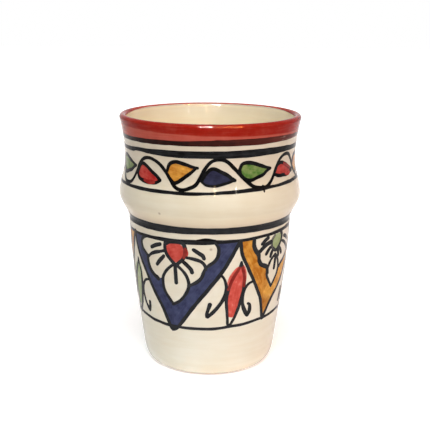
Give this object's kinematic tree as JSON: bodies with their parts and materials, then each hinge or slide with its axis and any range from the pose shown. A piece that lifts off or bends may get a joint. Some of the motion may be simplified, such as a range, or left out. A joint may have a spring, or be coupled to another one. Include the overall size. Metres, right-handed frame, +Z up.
{
  "type": "moroccan tea glass",
  "caption": "Hand-painted ceramic tea tumbler without a handle: tapered wall, raised collar below a flared red rim, vine frieze and panel of chevrons with flowers.",
  "frame": {"origin": "centre of the foot ring, on the plane that the cup stands on", "axes": "+Z up through the mouth, -Y towards the front, +X to the right seen from the front"},
  "size_m": [0.076, 0.076, 0.1055],
  "materials": {
    "biscuit_clay": "matte",
    "white_glaze": "gloss",
    "red_band_paint": "gloss",
    "brown_paint": "gloss",
    "black_paint": "gloss",
    "green_paint": "gloss",
    "red_paint": "gloss",
    "ochre_paint": "gloss",
    "blue_paint": "gloss"
  },
  "bodies": {
    "root": {"clay_body": "biscuit_clay", "white_glaze": "white_glaze", "rim_band_red": "red_band_paint", "rim_line_brown": "brown_paint", "frieze_top_ring": "black_paint", "frieze_foot_ring": "black_paint", "shoulder_ring": "black_paint", "panel_top_ring": "black_paint", "panel_foot_ring": "black_paint", "vine_line": "black_paint", "leaf_outlines": "black_paint", "leaves_green": "green_paint", "leaves_red": "red_paint", "leaves_ochre": "ochre_paint", "leaves_blue": "blue_paint", "chevron_outlines": "black_paint", "chevrons_blue": "blue_paint", "chevrons_ochre": "ochre_paint", "chevron_green": "green_paint", "petal_outlines": "black_paint", "petal_veins": "black_paint", "flower_centres_red": "red_paint", "flower_centres_green": "green_paint", "flower_centre_ochre": "ochre_paint", "lance_outlines": "black_paint", "lances_red": "red_paint", "lances_green": "green_paint", "lance_blue": "blue_paint", "curls": "black_paint"}
  },
  "joints": []
}
